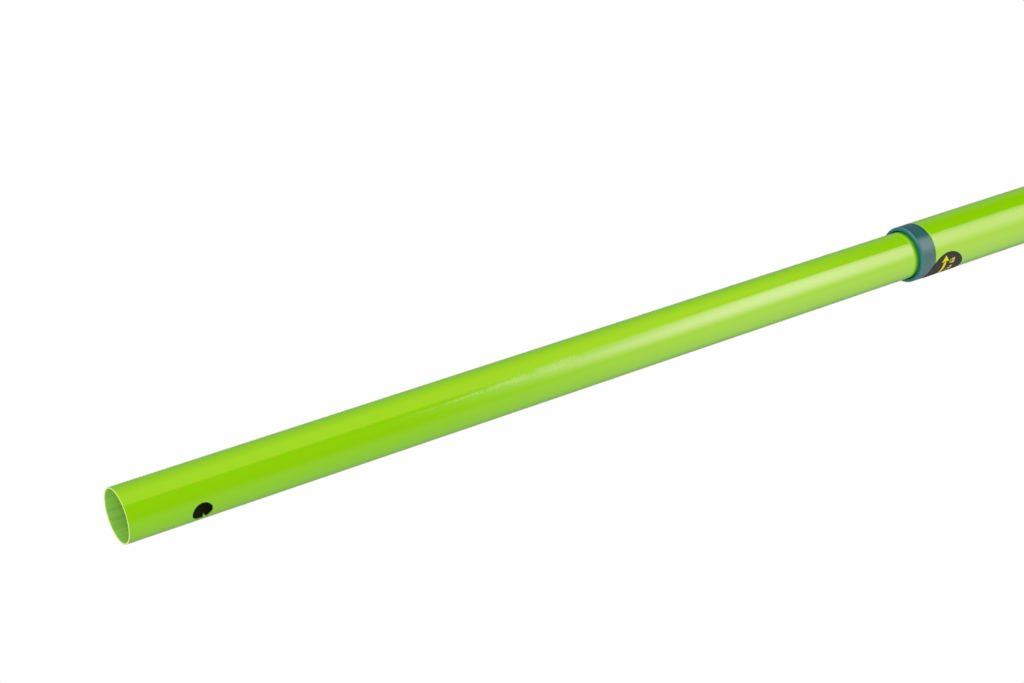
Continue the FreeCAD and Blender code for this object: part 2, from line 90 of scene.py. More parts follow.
class Signal:
    """A shader value that turns Python arithmetic into Math nodes."""

    def __init__(self, sheet: "Sheet", socket: bpy.types.NodeSocket) -> None:
        """Wraps an output socket of a sheet's node."""
        self.sheet = sheet
        self.socket = socket

    def math(self, operation: str, *others: "Number") -> "Signal":
        """Adds a Math node with this value first.

        Args:
            operation: The Math node's operation.
            others: The node's other operands.

        Returns:
            The node's result.
        """
        operands = dict(enumerate((self, *others)))
        node = self.sheet.node("ShaderNodeMath", {"operation": operation}, operands)
        return Signal(self.sheet, node.outputs[0])

    def __add__(self, other: "Number") -> "Signal":
        """Adds."""
        return self.math("ADD", other)

    def __radd__(self, other: float) -> "Signal":
        """Adds, with the number first."""
        return self.math("ADD", other)

    def __sub__(self, other: "Number") -> "Signal":
        """Takes away."""
        return self.math("SUBTRACT", other)

    def __rsub__(self, other: float) -> "Signal":
        """Takes this away from a number."""
        node = self.sheet.node("ShaderNodeMath", {"operation": "SUBTRACT"}, {0: other, 1: self})
        return Signal(self.sheet, node.outputs[0])

    def __mul__(self, other: "Number") -> "Signal":
        """Multiplies."""
        return self.math("MULTIPLY", other)

    def __rmul__(self, other: float) -> "Signal":
        """Multiplies, with the number first."""
        return self.math("MULTIPLY", other)

    def size(self) -> "Signal":
        """Drops the sign."""
        return self.math("ABSOLUTE")

    def most(self, other: "Number") -> "Signal":
        """Takes the larger of two values."""
        return self.math("MAXIMUM", other)

    def least(self, other: "Number") -> "Signal":
        """Takes the smaller of two values."""
        return self.math("MINIMUM", other)

    def ramp(self, low: float, high: float) -> "Signal":
        """Rises smoothly from 0 at low to 1 at high, or falls where low is above high.

        Args:
            low: The value that gives 0.
            high: The value that gives 1.

        Returns:
            The smooth step.
        """
        start, end = (0.0, 1.0) if low < high else (1.0, 0.0)
        node = self.sheet.node(
            "ShaderNodeMapRange",
            {"interpolation_type": "SMOOTHSTEP"},
            {"Value": self, "From Min": min(low, high), "From Max": max(low, high), "To Min": start, "To Max": end},
        )
        return Signal(self.sheet, node.outputs["Result"])

    def band(self, middle: float, half: float, soft: float) -> "Signal":
        """Gives 1 within half of middle, falling to 0 over a soft edge outside it."""
        return (self - middle).size().ramp(half + soft, half)


Number = Union[float, Signal]
Input = Union[float, Sequence[float], Signal, bpy.types.NodeSocket]


class Sheet:
    """The nodes of one material or of the surround."""

    def __init__(self, tree: bpy.types.NodeTree) -> None:
        """Empties a node tree and takes it over."""
        self.tree = tree
        tree.nodes.clear()

    def node(
        self,
        kind: str,
        settings: Union[dict, None] = None,
        inputs: Union[dict[Union[str, int], Input], None] = None,
    ) -> bpy.types.Node:
        """Adds a node.

        Args:
            kind: The node's type name.
            settings: Properties that are set before the sockets.
            inputs: Values or links by socket name or number.

        Returns:
            The node.
        """
        made = self.tree.nodes.new(kind)
        for name, value in (settings or {}).items():
            setattr(made, name, value)
        for key, value in (inputs or {}).items():
            socket = made.inputs[key]
            if isinstance(value, Signal):
                value = value.socket
            if isinstance(value, bpy.types.NodeSocket):
                self.tree.links.new(value, socket)
            else:
                socket.default_value = value
        return made

    def mixed(self, share: Number, first: Input, second: Input, how: str = "MIX") -> bpy.types.NodeSocket:
        """Mixes a share of the second colour into the first, by the named blend."""
        settings = {"data_type": "RGBA", "blend_type": how}
        return self.node("ShaderNodeMix", settings, {0: share, 6: first, 7: second}).outputs[2]

    def place(self) -> tuple[Signal, Signal, Signal, bpy.types.NodeSocket]:
        """Gives the piece's own coordinates.

        Returns:
            X, Y and Z, and the whole vector.
        """
        spot = self.node("ShaderNodeTexCoord").outputs["Object"]
        parts = self.node("ShaderNodeSeparateXYZ", inputs={0: spot})
        x, y, z = (Signal(self, parts.outputs[number]) for number in range(3))
        return x, y, z, spot

    def noise(self, spot: Input, scale: float, detail: float = 2.0, stretch: Sequence[float] = (1, 1, 1)) -> Signal:
        """Adds a noise pattern.

        Args:
            spot: Where the pattern is read.
            scale: Its frequency, per metre.
            detail: Its octaves.
            stretch: A further scale for each axis.

        Returns:
            The noise, from 0 to 1.
        """
        sized = self.node("ShaderNodeVectorMath", {"operation": "MULTIPLY"}, {0: spot, 1: stretch})
        inputs = {"Vector": sized.outputs[0], "Scale": scale, "Detail": detail, "Roughness": 0.55}
        return Signal(self, self.node("ShaderNodeTexNoise", inputs=inputs).outputs["Fac"])

    def bumped(self, height: Signal, depth: float, strength: float) -> bpy.types.NodeSocket:
        """Turns a height, whose 1 is the depth in metres, into a normal."""
        made = self.node("ShaderNodeBump", inputs={"Strength": strength, "Distance": depth, "Height": height})
        return made.outputs["Normal"]


def grey(level: float) -> Colour:
    """Makes an even grey."""
    return (level, level, level, 1.0)


def new_material(name: str, settings: dict, paint: Callable[[Sheet], dict]) -> bpy.types.Material:
    """Makes a material with one Principled shader.

    Args:
        name: The material's name.
        settings: Plain values of the shader's sockets.
        paint: Adds the pattern nodes and gives the sockets that they feed.

    Returns:
        The material.
    """
    material = bpy.data.materials.new(name)
    material.use_nodes = True
    sheet = Sheet(material.node_tree)
    fed = paint(sheet)
    shader = sheet.node("ShaderNodeBsdfPrincipled", inputs={**settings, **fed})
    sheet.node("ShaderNodeOutputMaterial", inputs={"Surface": shader.outputs[0]})
    return material


def angle_about_pole(x: Signal, y: Signal) -> Signal:
    """Gives the angle about the pole, from the front towards -X, in radians."""
    return (x * -1).math("ARCTAN2", y * -1)


@dataclass(frozen=True)
class Enamel:
    """Glossy green enamel on a steel tube, with a painted highlight on its cut rim, and inside, where the spray does
    not reach, dark unpainted steel darkened further as painted shade.

    The scuffs, the ring of painted collar shade and the weld are placed in millimetres, from the mouth or round the
    bore from the front.
    """

    bore: float
    mouth: float
    scuffs: Span = (NOWHERE_MM, NOWHERE_MM + 10)
    ring: float = NOWHERE_MM
    skin: Colour = (0.283, 0.672, 0.0, 1.0)
    skin_drift: Colour = (0.30, 0.70, 0.0, 1.0)
    scuff_highlight: Colour = (0.72, 0.9, 0.38, 1.0)
    collar_shade: Colour = (0.03, 0.3, 0.0, 1.0)
    rim_highlight: Colour = (0.66, 0.93, 0.28, 1.0)
    inside: Colour = (0.34, 0.7, 0.09, 1.0)
    streak: Colour = (0.2, 0.5, 0.05, 1.0)
    weld: Colour = (0.5, 0.66, 0.4, 1.0)
    shaded_steel: Colour = (0.11, 0.13, 0.055, 1.0)
    weld_arc: float = -29.5
    scuff_arc: float = 0.55
    scuff_slant: float = -0.012
    spray_reach: float = 9 * MM
    rim: float = 0.16 * MM
    gloss: float = 0.10
    depth: float = 0.02 * MM

    def make(self, name: str) -> bpy.types.Material:
        """Makes the material under the given name."""
        return new_material(name, {"IOR": 1.5, "Specular Tint": (1, 1, 1, 1)}, self.paint)

    def paint(self, sheet: Sheet) -> dict:
        """Adds the pattern.

        Args:
            sheet: The material's nodes.

        Returns:
            The sockets that the pattern feeds.
        """
        x, y, z, spot = sheet.place()
        depth = self.mouth - z
        depth_mm = depth * (1 / MM)
        arc = angle_about_pole(x, y) * (self.bore / MM)
        radius = (x * x + y * y).math("SQRT")
        within = radius.ramp(self.bore + 0.35 * MM, self.bore + 0.1 * MM)
        # Painted highlight: the cut rim at the mouth is coloured pale lime.
        cut = z.ramp(self.mouth - self.rim, self.mouth - self.rim / 2)
        drift = sheet.noise(spot, 14.0, stretch=(1, 1, 0.4))
        worn = self.scuffed(sheet, arc, depth_mm, spot)
        past_ring = depth_mm - self.ring
        shown = past_ring.ramp(2.6, 0.8)
        # Painted shade and painted reflection of the collar: a dark green ring on the tube just short of the
        # collar's front, which is also rougher there.
        collar_shade_mask = past_ring.ramp(-2.3, -0.5) * shown
        dulled = past_ring.ramp(-2.7, -1.8) * shown

        skin = sheet.mixed((drift - 0.5) * 0.16 + 0.08, self.skin, self.skin_drift)
        # The scuffs are real wear in roughness and bumps; their pale colour is a painted highlight.
        skin = sheet.mixed(worn * 0.24, skin, self.scuff_highlight)
        skin = sheet.mixed(collar_shade_mask * 0.94, skin, self.collar_shade)
        sides = sheet.mixed(within, skin, self.lining(sheet, arc, depth, spot))
        base = sheet.mixed(cut, sides, self.rim_highlight)
        rough = worn * 0.16 + (drift * 0.03 + self.gloss) + within * 0.2 + dulled * 0.5
        peel = sheet.noise(spot, 520.0, 1.0)
        waves = sheet.noise(spot, 45.0, 1.0, stretch=(1, 1, 0.2))
        height = peel * 0.10 + worn * 0.35 + waves * 0.35
        return {"Base Color": base, "Roughness": rough, "Normal": sheet.bumped(height, self.depth, 0.6)}

    def lining(self, sheet: Sheet, arc: Signal, depth: Signal, spot: bpy.types.NodeSocket) -> bpy.types.NodeSocket:
        """Colours the inside: streaked paint with a weld line, fading to dark unpainted steel that also stands for
        painted shade.

        Args:
            sheet: The material's nodes.
            arc: The distance round the bore from the front, in millimetres.
            depth: The distance from the mouth, in metres.
            spot: The piece's own coordinates.

        Returns:
            The colour.
        """
        streaks = sheet.noise(spot, 700.0, 2.0, stretch=(1, 1, 0.05)).ramp(0.35, 0.7)
        seam = (arc - self.weld_arc).size().ramp(0.3, 0.12)
        painted = sheet.mixed(streaks * 0.6, self.inside, self.streak)
        painted = sheet.mixed(seam * 0.5, painted, self.weld)
        # Painted shade: deeper in, the inside turns to near-black unpainted steel, so the hole reads dark whatever
        # the light.
        ragged = depth + (sheet.noise(spot, 400.0) - 0.5) * (6 * MM)
        fade = ragged.ramp(self.spray_reach * 0.5, self.spray_reach * 1.9)
        return sheet.mixed(fade, painted, self.shaded_steel)

    def scuffed(self, sheet: Sheet, arc: Signal, depth: Signal, spot: bpy.types.NodeSocket) -> Signal:
        """Masks the fine scuffs left across the tube by sliding it in and out; the mask also places a painted
        highlight.

        Args:
            sheet: The material's nodes.
            arc: The distance round the pole from the front, in millimetres.
            depth: The distance from the mouth, in millimetres.
            spot: The piece's own coordinates.

        Returns:
            The mask.
        """
        start, end = self.scuffs
        middle = depth * self.scuff_slant + self.scuff_arc
        comb = sheet.node("ShaderNodeCombineXYZ", inputs={0: arc * 0.25, 1: depth + arc * 0.3, 2: 0.0})
        teeth = sheet.noise(comb.outputs[0], 1.5, 3.0).ramp(0.34, 0.66)
        half = (depth.ramp(start + 36, end - 5) * 1.2 + 0.22) * (teeth * 1.2 + 0.35)
        across = ((arc - middle).size() - half).ramp(0.25, -0.1)
        along = depth.ramp(start + 10, start + 60) * depth.ramp(end, end - 28)
        patchy = sheet.noise(spot, 90.0, 2.0).ramp(0.25, 0.5)
        return across * along * (teeth * 0.5 + 0.5) * patchy


@dataclass(frozen=True)
class Moulding:
    """Moulded plastic with flow marks and fine turned lines, with painted light on its front end and a painted
    highlight along its front edge.
    """

    colour: Colour
    second: Colour
    lit: Colour = (0.02, 0.16, 0.185, 1.0)
    front_edge_highlight: Colour = (0.1, 0.36, 0.4, 1.0)
    glint: Colour = (0.76, 1.0, 0.84, 1.0)
    rough: float = 0.36
    shine: float = 0.5
    front: float = NOWHERE
    depth: float = 0.02 * MM

    def make(self, name: str) -> bpy.types.Material:
        """Makes the material under the given name."""
        sheen = {"IOR": 1.5, "Specular IOR Level": self.shine, "Specular Tint": self.glint}
        return new_material(name, sheen, self.paint)

    def paint(self, sheet: Sheet) -> dict:
        """Adds the pattern.

        Args:
            sheet: The material's nodes.

        Returns:
            The sockets that the pattern feeds.
        """
        _, _, z, spot = sheet.place()
        flow = sheet.noise(spot, 90.0, 3.0, stretch=(1, 1, 0.35))
        grain = sheet.noise(spot, 2600.0, 2.0)
        lines = sheet.noise(spot, 1500.0, 3.0, stretch=(0.05, 0.05, 1))
        past_front = (z - self.front) * (1 / MM)
        base = sheet.mixed(flow.ramp(0.3, 0.7), self.colour, self.second)
        # The turned lines are real marks; their paler lit colour is a painted highlight.
        base = sheet.mixed(lines.ramp(0.42, 0.62) * 0.45, base, self.lit)
        # Painted light: the front end is coloured lighter, and a painted highlight runs along its rounded front
        # edge.
        base = sheet.mixed(past_front.ramp(-1.0, -0.6) * 0.75, base, self.lit)
        base = sheet.mixed(past_front.band(-0.62, 0.12, 0.14) * 0.4, base, self.front_edge_highlight)
        rough = flow * 0.08 + grain * 0.06 + lines * 0.1 + (self.rough - 0.12)
        return {"Base Color": base, "Roughness": rough, "Normal": sheet.bumped(grain + lines, self.depth, 0.4)}


@dataclass(frozen=True)
class Rubber:
    """Soft matte rubber with a fine weave, and with dust left in its grooves."""

    core: float
    raised: float
    colour: Colour = (0.018, 0.019, 0.02, 1.0)
    dusty: Colour = (0.05, 0.05, 0.048, 1.0)
    weave_round: float = 48.0
    weave_rise: float = 3.2 / MM
    depth: float = 0.12 * MM

    def make(self, name: str) -> bpy.types.Material:
        """Makes the material under the given name."""
        return new_material(name, {"IOR": 1.48}, self.paint)

    def paint(self, sheet: Sheet) -> dict:
        """Adds the pattern.

        Args:
            sheet: The material's nodes.

        Returns:
            The sockets that the pattern feeds.
        """
        x, y, z, spot = sheet.place()
        radius = (x * x + y * y).math("SQRT")
        high = radius.ramp(self.core, self.raised)
        cloud = sheet.noise(spot, 70.0, 4.0)
        grain = sheet.noise(spot, 3200.0, 2.0)
        arc = angle_about_pole(x, y) * self.weave_round
        rise = z * self.weave_rise
        weave = (arc + rise).math("SINE") * (arc - rise).math("SINE")
        base = sheet.mixed(cloud.ramp(0.35, 0.8) * (1 - high * 0.7), self.colour, self.dusty)
        rough = 0.72 - high * 0.14 + cloud * 0.1
        height = grain * 0.4 + weave * high * 0.5
        return {"Base Color": base, "Roughness": rough, "Normal": sheet.bumped(height, self.depth, 0.8)}


@dataclass(frozen=True)
class Zinc:
    """Zinc-plated steel with turning marks."""

    colour: Colour = (0.56, 0.57, 0.58, 1.0)
    tarnish: Colour = (0.36, 0.35, 0.32, 1.0)
    depth: float = 0.01 * MM

    def make(self, name: str) -> bpy.types.Material:
        """Makes the material under the given name."""
        return new_material(name, {"Metallic": 1.0}, self.paint)

    def paint(self, sheet: Sheet) -> dict:
        """Adds the pattern.

        Args:
            sheet: The material's nodes.

        Returns:
            The sockets that the pattern feeds.
        """
        spot = sheet.place()[3]
        cloud = sheet.noise(spot, 500.0, 3.0)
        marks = sheet.noise(spot, 5000.0, 2.0, stretch=(0.2, 0.2, 1.0))
        base = sheet.mixed(cloud.ramp(0.4, 0.75), self.colour, self.tarnish)
        rough = cloud * 0.18 + marks * 0.1 + 0.2
        return {"Base Color": base, "Roughness": rough, "Normal": sheet.bumped(marks, self.depth, 0.5)}


def rectangle(across: Signal, along: Signal, place: Point, half: Point) -> Signal:
    """Masks a rectangle of the label's print, from its middle and half sizes in millimetres."""
    soft = PRINT_SOFT_MM
    return across.band(place[0], half[0] - soft, soft * 2) * along.band(place[1], half[1] - soft, soft * 2)


@dataclass(frozen=True)
class Arrow:
    """The printed arrow, which points round the pole. Its sizes are in millimetres."""

    tip: float = -8.9
    base: float = -5.9
    half_base: float = 2.15
    row: float = -1.6
    shaft_middle: float = 0.4
    shaft_half: Point = (5.9, 0.78)
    soft: float = 0.1

    def mask(self, across: Signal, along: Signal) -> Signal:
        """Masks the arrow's head and shaft.

        Args:
            across: The distance round the pole from the label's middle, in millimetres.
            along: The distance down the pole from the label's middle, in millimetres.

        Returns:
            The mask.
        """
        spread = (across - self.tip) * (self.half_base / (self.base - self.tip))
        flanks = ((along - self.row).size() - spread).ramp(self.soft, -self.soft)
        head = flanks * across.ramp(self.base + self.soft, self.base - self.soft)
        return head.most(rectangle(across, along, (self.shaft_middle, self.row), self.shaft_half))


@dataclass(frozen=True)
class Padlock:
    """A printed padlock: a block with a keyhole beside a round shackle. Its sizes are in millimetres."""

    place: float
    swung: float
    row: float = 3.35
    half: Point = (1.4, 0.85)
    keyhole_half: Point = (0.3, 0.35)
    shackle_row: float = 2.3
    shackle_radius: float = 0.95
    shackle_half: float = 0.14
    shackle_ends: Span = (2.7, 2.5)

    def mask(self, across: Signal, along: Signal) -> Signal:
        """Masks the padlock.

        Args:
            across: The distance round the pole from the label's middle, in millimetres.
            along: The distance down the pole from the label's middle, in millimetres.

        Returns:
            The mask.
        """
        block = rectangle(across, along, (self.place, self.row), self.half)
        keyhole = rectangle(across, along, (self.place, self.row), self.keyhole_half)
        reach, drop = across - (self.place + self.swung), along - self.shackle_row
        far = (reach * reach + drop * drop).math("SQRT")
        shackle = far.band(self.shackle_radius, self.shackle_half, 0.16) * along.ramp(*self.shackle_ends)
        return (block * (1 - keyhole)).most(shackle)


@dataclass(frozen=True)
class PrintedFilm:
    """Near-black film printed in yellow with a turning arrow, a closed padlock and an open one."""

    radius: float
    turn: float
    height: float
    arrow: Arrow = Arrow()
    closed: Padlock = Padlock(place=-5.3, swung=0.0)
    opened: Padlock = Padlock(place=-1.0, swung=1.1)
    film: Colour = (0.014, 0.01, 0.014, 1.0)
    faded: Colour = (0.13, 0.11, 0.1, 1.0)
    ink: Colour = (0.88, 0.84, 0.0, 1.0)
    dull_ink: Colour = (0.68, 0.64, 0.04, 1.0)
    depth: float = 0.01 * MM

    def make(self, name: str) -> bpy.types.Material:
        """Makes the material under the given name."""
        return new_material(name, {"IOR": 1.5, "Specular IOR Level": 0.14}, self.paint)

    def paint(self, sheet: Sheet) -> dict:
        """Adds the print.

        Args:
            sheet: The material's nodes.

        Returns:
            The sockets that the print feeds.
        """
        x, y, z, spot = sheet.place()
        across = (angle_about_pole(x, y) - self.turn) * (self.radius / MM)
        along = (self.height - z) * (1 / MM)
        wear = sheet.noise(spot, 900.0, 3.0)
        cloud = sheet.noise(spot, 260.0, 3.0)
        worn = sheet.noise(spot, 2400.0, 3.0).ramp(0.36, 0.7)
        grain = sheet.noise(spot, 2200.0, 2.0)
        inked = self.arrow.mask(across, along) * wear.ramp(0.2, 0.3)
        small = self.closed.mask(across, along).most(self.opened.mask(across, along)) * wear.ramp(0.25, 0.4)
        base = sheet.mixed(cloud * 0.14 + worn * 0.5, self.film, self.faded)
        base = sheet.mixed(inked, base, self.ink)
        base = sheet.mixed(small, base, self.dull_ink)
        rough = cloud * 0.1 + 0.74 - worn * 0.4
        return {"Base Color": base, "Roughness": rough, "Normal": sheet.bumped(grain, self.depth, 0.5)}


def to_object(mesh: bmesh.types.BMesh, name: str, sharp: float = SHARP) -> bpy.types.Object:
    """Turns a bmesh into an object with smooth faces and sharp corners.

    Args:
        mesh: The bmesh, which is freed.
        name: The object's name.
        sharp: The angle, in degrees, above which an edge stays sharp.

    Returns:
        The object.
    """
    data = bpy.data.meshes.new(name)
    for face in mesh.faces:
        face.smooth = True
    mesh.to_mesh(data)
    mesh.free()
    data.set_sharp_from_angle(angle=math.radians(sharp))
    made = bpy.data.objects.new(name, data)
    bpy.context.scene.collection.objects.link(made)
    return made


def lathe(outline: Sequence[Point], steps: int) -> bmesh.types.BMesh:
    """Spins a closed outline of radius and height about the pole.

    Args:
        outline: The corners of the outline.
        steps: The number of segments round the pole.

    Returns:
        The turned solid.
    """
    mesh = bmesh.new()
    verts = [mesh.verts.new((radius, 0, height)) for radius, height in outline]
    edges = [mesh.edges.new(pair) for pair in zip(verts, verts[1:] + verts[:1])]
    bmesh.ops.spin(
        mesh,
        geom=verts + edges,
        axis=(0, 0, 1),
        cent=(0, 0, 0),
        steps=steps,
        angle=math.tau,
        use_merge=True,
        use_duplicate=False,
    )
    bmesh.ops.remove_doubles(mesh, verts=mesh.verts, dist=NEAR)
    bmesh.ops.recalc_face_normals(mesh, faces=mesh.faces)
    return mesh


def bevel_rims(mesh: bmesh.types.BMesh, rims: Sequence[Point], width: float, segments: int) -> None:
    """Rounds the circular edges of a turned solid.

    Args:
        mesh: The solid.
        rims: The radius and height of each edge circle.
        width: The bevel's width.
        segments: Its segments.
    """

    def on_rim(vert: bmesh.types.BMVert, rim: Point) -> bool:
        """Tells whether a vertex lies on an edge circle."""
        return abs(vert.co.xy.length - rim[0]) < NEAR and abs(vert.co.z - rim[1]) < NEAR

    chosen = [edge for edge in mesh.edges if any(all(on_rim(vert, rim) for vert in edge.verts) for rim in rims)]
    bmesh.ops.bevel(
        mesh,
        geom=chosen,
        offset=width,
        segments=segments,
        profile=0.5,
        affect="EDGES",
        material=-1,
    )


def joined(made: bpy.types.Object, tool: bpy.types.Object, how: Join = Join.CUT) -> bpy.types.Object:
    """Puts a second solid to work on the first and removes the second.

    Args:
        made: The object to change.
        tool: The second solid.
        how: What is done with it.

    Returns:
        The changed object.
    """
    step = made.modifiers.new("join", "BOOLEAN")
    step.operation = how.value
    step.solver = "EXACT"
    step.object = tool
    graph = bpy.context.evaluated_depsgraph_get()
    data = bpy.data.meshes.new_from_object(made.evaluated_get(graph))
    made.modifiers.clear()
    made.data = data
    bpy.data.objects.remove(tool)
    return made


def bar_along(outward: Vector, middle: Vector, radius: float, length: float, sides: int = 72) -> bmesh.types.BMesh:
    """Makes a round bar.

    Args:
        outward: The bar's direction.
        middle: Its middle.
        radius: Its radius.
        length: Its length.
        sides: Its sides.

    Returns:
        The bar.
    """
    mesh = bmesh.new()
    bmesh.ops.create_cone(mesh, cap_ends=True, segments=sides, radius1=radius, radius2=radius, depth=length)
    swing = outward.to_track_quat("Z", "Y").to_matrix().to_4x4()
    bmesh.ops.transform(mesh, matrix=Matrix.Translation(middle) @ swing, verts=mesh.verts)
    return mesh


def block_between(low: Vector, high: Vector) -> bmesh.types.BMesh:
    """Makes a block between two corners.

    Args:
        low: The corner where every coordinate is lowest.
        high: The opposite corner.

    Returns:
        The block.
    """
    mesh = bmesh.new()
    bmesh.ops.create_cube(mesh, size=1.0)
    bmesh.ops.scale(mesh, vec=high - low, verts=mesh.verts)
    bmesh.ops.translate(mesh, vec=(low + high) / 2, verts=mesh.verts)
    return mesh


def dress(node: str, material: bpy.types.Material) -> None:
    """Gives a CAD node its material.

    Args:
        node: The CAD node.
        material: The material.
    """
    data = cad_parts[node].data
    data.materials.clear()
    data.materials.append(material)
    LOG.info("dressed %s", node)


def settle(made: bpy.types.Object, body: Body, node: str, material: bpy.types.Material) -> bpy.types.Object:
    """Finishes a piece: its material, its body and the CAD node that it stands for.

    Args:
        made: The piece.
        body: The body that it rides on.
        node: The CAD node that it replaces.
        material: Its material.

    Returns:
        The piece.
    """
    made.data.materials.clear()
    made.data.materials.append(material)
    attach(made, body.value)
    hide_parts(node)
    LOG.info("built %s with %d faces", made.name, len(made.data.polygons))
    return made


@dataclass
class ThinTube:
    """The thin tube: open mouth, cross hole with a burr, and swelled lower end."""

    wall: float = 0.5 * MM
    swell: float = 0.6 * MM
    swell_tall: float = 36 * MM
    cone: float = 2 * MM
    rim_rounding: float = 0.14 * MM
    rim_row: float = 0.6 * MM
    hole_rows: int = 7
    hole_bar: float = 10 * MM
    hole_radius: float = 4 * MM
    hole_depth: float = 28 * MM
    hole_turn: float = 218.7
    burr_turn: float = 196.0
    burr_half: float = 5.0
    burr_reach: float = 0.34
    scuffs: Span = (92.0, 208.0)
    steps: int = 192

    def build(self) -> bpy.types.Object:
        """Builds and dresses the tube.

        Returns:
            The piece.
        """
        low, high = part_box("inner_tube")
        outside = high.x - self.swell
        inside = outside - self.wall
        cone_low = low.z + self.swell_tall
        cone_high = cone_low + self.cone
        hole = high.z - self.hole_depth
        # Rows across the long faces keep their shading straight beside the cone, the hole and the rim.
        steps = range(-self.hole_rows, self.hole_rows + 1)
        rows = [cone_high + MM, *(hole + step * MM for step in steps), high.z - self.rim_row]
        outline = [(outside + self.swell, low.z), (outside + self.swell, cone_low), (outside, cone_high)]
        outline += [(outside, row) for row in rows]
        outline += [(outside, high.z), (inside, high.z)]
        outline += [(inside, row) for row in reversed(rows)]
        outline += [(inside, cone_high), (inside + self.swell, cone_low), (inside + self.swell, low.z)]
        mesh = lathe(outline, self.steps)
        bevel_rims(mesh, [(outside, high.z), (inside, high.z)], self.rim_rounding, 3)
        made = joined(to_object(mesh, "thin_tube"), self.punch(hole))
        made.data.set_sharp_from_angle(angle=math.radians(SHARP))
        # The depth of the collar's front from the mouth, where the enamel gets its ring of painted shade.
        ring = (high.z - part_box("guide_collar")[1].z) / MM
        enamel = Enamel(bore=inside, mouth=high.z, scuffs=self.scuffs, ring=ring)
        return settle(made, Body.DRAW_TUBE, "inner_tube", enamel.make("thin_tube_enamel"))

    def punch(self, height: float) -> bpy.types.Object:
        """Makes the notched bar that cuts the cross hole through one wall and leaves its burr.

        Args:
            height: The height of the hole's middle.

        Returns:
            The bar.
        """
        turn = math.radians(self.hole_turn)
        outward = Vector((math.cos(turn), math.sin(turn), 0))
        middle = outward * self.hole_bar + Vector((0, 0, height))
        mesh = bar_along(outward, middle, self.hole_radius, self.hole_bar)
        onto_bar = outward.to_track_quat("Z", "Y").to_matrix().inverted()
        burr = math.radians(self.burr_turn)
        for vert in mesh.verts:
            spot = onto_bar @ (vert.co - middle)
            off = abs(math.remainder(math.atan2(spot.y, spot.x) - burr, math.tau))
            if off < math.radians(self.burr_half):
                spot.xy *= self.burr_reach
                vert.co = onto_bar.inverted() @ spot + middle
        return to_object(mesh, "punch")


@dataclass
class ThickTube:
    """The thick tube that the thin one slides in."""

    wall: float = 0.5 * MM
    hold: float = 0.5 * MM
    rim_rounding: float = 0.08 * MM
    shaded_inside_lift: float = 1.0
    steps: int = 192

    def build(self) -> bpy.types.Object:
        """Builds and dresses the tube.

        Returns:
            The piece.
        """
        low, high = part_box("outer_tube")
        outside = high.x
        inside = outside - self.wall
        rows = [low.z, low.z + self.hold, high.z - self.hold, high.z]
        outline = [(outside, row) for row in rows] + [(inside, row) for row in reversed(rows)]
        mesh = lathe(outline, self.steps)
        bevel_rims(mesh, [(outside, low.z), (outside, high.z)], self.rim_rounding, 2)
        # With its mouth this far up, the whole inside takes the dark unpainted steel colour, partly painted shade,
        # and no end gets the painted rim highlight.
        enamel = Enamel(bore=inside, mouth=high.z + self.shaded_inside_lift)
        return settle(to_object(mesh, "thick_tube"), Body.HANDLE, "outer_tube", enamel.make("thick_tube_enamel"))


@dataclass
class GuideCollar:
    """The moulded collar: a head flush with the thick tube and a stem inside it."""

    bore: float = 10.95 * MM
    land: float = 10.8 * MM
    stem: float = 11.8 * MM
    head: float = 8.6 * MM
    mouth: float = 14 * MM
    step: float = 1 * MM
    rounding: float = 1.0 * MM
    rounding_row: float = 1.25 * MM
    bore_rounding: float = 0.3 * MM
    bore_row: float = 0.6 * MM
    joint_rounding: float = 0.15 * MM
    joint_row: float = 0.4 * MM
    steps: int = 160

    def build(self) -> bpy.types.Object:
        """Builds and dresses the collar.

        Returns:
            The piece.
        """
        low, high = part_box("guide_collar")
        outside = high.x
        joint = high.z - self.head
        outline = [
            (self.land, low.z),
            (self.stem, low.z),
            (self.stem, joint),
            (outside, joint),
            (outside, joint + self.joint_row),
            (outside, high.z - self.rounding_row),
            (outside, high.z),
            (self.bore, high.z),
            (self.bore, high.z - self.bore_row),
            (self.bore, high.z - self.mouth),
            (self.land, high.z - self.mouth - self.step),
        ]
        mesh = lathe(outline, self.steps)
        bevel_rims(mesh, [(outside, high.z)], self.rounding, 6)
        bevel_rims(mesh, [(self.bore, high.z)], self.bore_rounding, 3)
        bevel_rims(mesh, [(outside, joint)], self.joint_rounding, 2)
        teal = Moulding((0.004, 0.08, 0.112, 1.0), (0.007, 0.09, 0.12, 1.0), rough=0.26, shine=0.4, front=high.z)
        return settle(to_object(mesh, "collar"), Body.HANDLE, "guide_collar", teal.make("collar_teal"))


@dataclass
class LockLabel:
    """The round film label over the joint of the collar and the thick tube."""

    turn: float = 71.0
    thick: float = 0.1 * MM
    lift: float = 0.04 * MM
    rings: int = 14
    sides: int = 96

    def build(self) -> bpy.types.Object:
        """Builds and dresses the label.

        Returns:
            The piece.
        """
        low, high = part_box("lock_label")
        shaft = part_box("outer_tube")[1].x
        radius = (high.z - low.z) / 2
        height = (high.z + low.z) / 2
        mesh = bmesh.new()
        bmesh.ops.create_circle(mesh, cap_ends=True, cap_tris=True, segments=self.sides, radius=radius)
        spokes = [edge for edge in mesh.edges if min(vert.co.length for vert in edge.verts) < NEAR]
        bmesh.ops.subdivide_edges(mesh, edges=spokes, cuts=self.rings, use_grid_fill=True)
        bmesh.ops.recalc_face_normals(mesh, faces=mesh.faces)
        bmesh.ops.solidify(mesh, geom=mesh.faces[:], thickness=self.thick)
        turn = math.radians(self.turn)
        for vert in mesh.verts:
            angle = turn + vert.co.x / shaft
            reach = shaft + self.lift + abs(vert.co.z)
            vert.co = (-math.sin(angle) * reach, -math.cos(angle) * reach, height + vert.co.y)
        bmesh.ops.recalc_face_normals(mesh, faces=mesh.faces)
        film = PrintedFilm(radius=shaft, turn=turn, height=height)
        return settle(to_object(mesh, "turn_label"), Body.HANDLE, "lock_label", film.make("label_film"))


